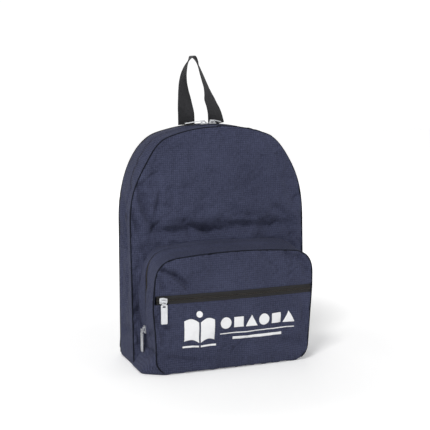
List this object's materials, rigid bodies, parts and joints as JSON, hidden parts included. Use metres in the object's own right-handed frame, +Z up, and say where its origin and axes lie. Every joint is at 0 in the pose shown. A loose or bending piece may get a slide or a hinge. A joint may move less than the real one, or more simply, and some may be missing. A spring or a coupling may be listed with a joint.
{
  "type": "backpack",
  "caption": "Soft school backpack with a zipped main compartment, zipped front pocket, webbing grab handle and padded shoulder straps.",
  "frame": {"origin": "on the ground under the centre of the whole bag's bounding box", "axes": "+X towards the right of a person who faces the bag's front, +Y from the front pocket towards the back panel, +Z up to the grab handle"},
  "size_m": [0.3232, 0.2058, 0.5097],
  "materials": {
    "navy_cloth": "plain-woven navy polyester with a fine visible grid",
    "navy_piping": "cloth-covered cord, matte navy",
    "black_tape": "tightly woven black tape, matte",
    "zip_coil": "black moulded coil, slight sheen",
    "black_webbing": "ribbed black webbing, matte",
    "black_plastic": "moulded black plastic, fine grain",
    "foam": "soft closed-cell foam",
    "board": "smooth dark board",
    "zinc": "nickel-plated die casting, satin"
  },
  "bodies": {
    "bag": {"back_panel": "navy_cloth", "back_foam": "foam", "base_panel": "navy_cloth", "base_board": "board", "side_panel_left": "navy_cloth", "side_panel_right": "navy_cloth", "top_gusset_rear": "navy_cloth", "front_panel_lower": "navy_cloth", "main_zip_tape_rear": "black_tape", "main_zip_coil_rear": "zip_coil", "back_seam_binding": "black_tape", "pocket_face_base": "navy_cloth", "pocket_side_left": "navy_cloth", "pocket_side_right": "navy_cloth", "pocket_base_strip": "navy_cloth", "pocket_gusset_rear": "navy_cloth", "organiser_zip_tape_rear": "black_tape", "organiser_zip_coil_rear": "zip_coil", "strap_yoke": "black_webbing", "shoulder_strap_left": "navy_cloth", "shoulder_strap_right": "navy_cloth", "lower_webbing_left": "black_webbing", "lower_webbing_right": "black_webbing", "anchor_tab_left": "black_webbing", "anchor_tab_right": "black_webbing"},
    "front_flap": {"front_panel_upper": "navy_cloth", "top_gusset_front": "navy_cloth", "main_zip_tape_front": "black_tape", "main_zip_coil_front": "zip_coil", "front_seam_piping": "navy_piping"},
    "pocket_front": {"pocket_face_lower": "navy_cloth", "pocket_face_upper": "navy_cloth", "pocket_gusset_front": "navy_cloth", "organiser_zip_tape_front": "black_tape", "organiser_zip_coil_front": "zip_coil", "face_zip_tape_lower": "black_tape", "face_zip_tape_upper": "black_tape", "face_zip_coil": "zip_coil", "pocket_piping": "navy_piping"},
    "face_slider": {"face_slider": "zinc"},
    "face_link": {"face_pull_link": "zinc"},
    "face_tab": {"face_pull_tab": "zinc"},
    "main_slider_left": {"main_slider_left": "zinc"},
    "main_slider_right": {"main_slider_right": "zinc"},
    "main_pull_left": {"main_pull_left": "zinc"},
    "main_pull_right": {"main_pull_right": "zinc"},
    "organiser_slider": {"organiser_slider": "zinc"},
    "organiser_link": {"organiser_pull_link": "zinc"},
    "organiser_tab": {"organiser_pull_tab": "zinc"},
    "handle": {"grab_handle": "black_webbing"},
    "lock_left": {"ladder_lock_left": "black_plastic"},
    "lock_right": {"ladder_lock_right": "black_plastic"},
    "tail_left": {"webbing_tail_left": "black_webbing"},
    "tail_right": {"webbing_tail_right": "black_webbing"}
  },
  "joints": [
    {"name": "main_flap_open", "type": "hinge", "parent": "bag", "child": "front_flap", "pos_m": [0, -0.02879, 0.215], "axis": [1, 0, 0], "range_deg": [0, 70]},
    {"name": "pocket_flap_open", "type": "hinge", "parent": "bag", "child": "pocket_front", "pos_m": [0, -0.09909, 0.037], "axis": [1, 0, 0], "range_deg": [0, 75]},
    {"name": "main_zip_left_travel", "type": "hinge", "parent": "bag", "child": "main_slider_left", "pos_m": [0, 0.01441, 0.096], "axis": [0, 1, 0], "range_deg": [-13, 0]},
    {"name": "main_zip_right_travel", "type": "hinge", "parent": "bag", "child": "main_slider_right", "pos_m": [0, 0.01441, 0.096], "axis": [0, 1, 0], "range_deg": [0, 16]},
    {"name": "main_pull_left_flip", "type": "hinge", "parent": "main_slider_left", "child": "main_pull_left", "pos_m": [-0.01541, 0.01404, 0.40199], "axis": [0.765, 0.6428, 0.0396], "range_deg": [0, 100]},
    {"name": "main_pull_right_flip", "type": "hinge", "parent": "main_slider_right", "child": "main_pull_right", "pos_m": [-0.00093, 0.01404, 0.40238], "axis": [0.766, -0.6428, 0.0013], "range_deg": [0, 100]},
    {"name": "face_zip_travel", "type": "hinge", "parent": "pocket_front", "child": "face_slider", "pos_m": [0, 1.58342, 0.124], "axis": [0, 0, 1], "range_deg": [0, 8.6]},
    {"name": "face_pull_swing", "type": "hinge", "parent": "face_slider", "child": "face_link", "pos_m": [-0.12697, -0.10185, 0.124], "axis": [-0.0751, -0.9972, 0], "range_deg": [-80, 80]},
    {"name": "face_pull_lift", "type": "hinge", "parent": "face_link", "child": "face_tab", "pos_m": [-0.12697, -0.10185, 0.1176], "axis": [-0.9972, 0.0751, 0], "range_deg": [0, 100]},
    {"name": "organiser_zip_travel", "type": "slide", "parent": "bag", "child": "organiser_slider", "axis": [0, 0, 1], "range_m": [0, 0.075]},
    {"name": "organiser_pull_swing", "type": "hinge", "parent": "organiser_slider", "child": "organiser_link", "pos_m": [-0.1463, -0.04359, 0.066], "axis": [1, 0, 0], "range_deg": [-80, 12]},
    {"name": "organiser_pull_lift", "type": "hinge", "parent": "organiser_link", "child": "organiser_tab", "pos_m": [-0.1463, -0.04359, 0.0596], "axis": [0, 1, 0], "range_deg": [0, 100]},
    {"name": "handle_fold", "type": "hinge", "parent": "bag", "child": "handle", "pos_m": [0, 0.05641, 0.4005], "axis": [1, 0, 0], "range_deg": [-75, 50]},
    {"name": "lock_left_tilt", "type": "hinge", "parent": "bag", "child": "lock_left", "pos_m": [-0.092, 0.08441, 0.135], "axis": [1, 0, 0], "range_deg": [0, 30]},
    {"name": "lock_right_tilt", "type": "hinge", "parent": "bag", "child": "lock_right", "pos_m": [0.092, 0.08441, 0.135], "axis": [1, 0, 0], "range_deg": [0, 30]},
    {"name": "tail_left_swing", "type": "hinge", "parent": "lock_left", "child": "tail_left", "pos_m": [-0.092, 0.08801, 0.124], "axis": [1, 0, 0], "range_deg": [0, 60]},
    {"name": "tail_right_swing", "type": "hinge", "parent": "lock_right", "child": "tail_right", "pos_m": [0.092, 0.08801, 0.124], "axis": [1, 0, 0], "range_deg": [0, 60]}
  ]
}
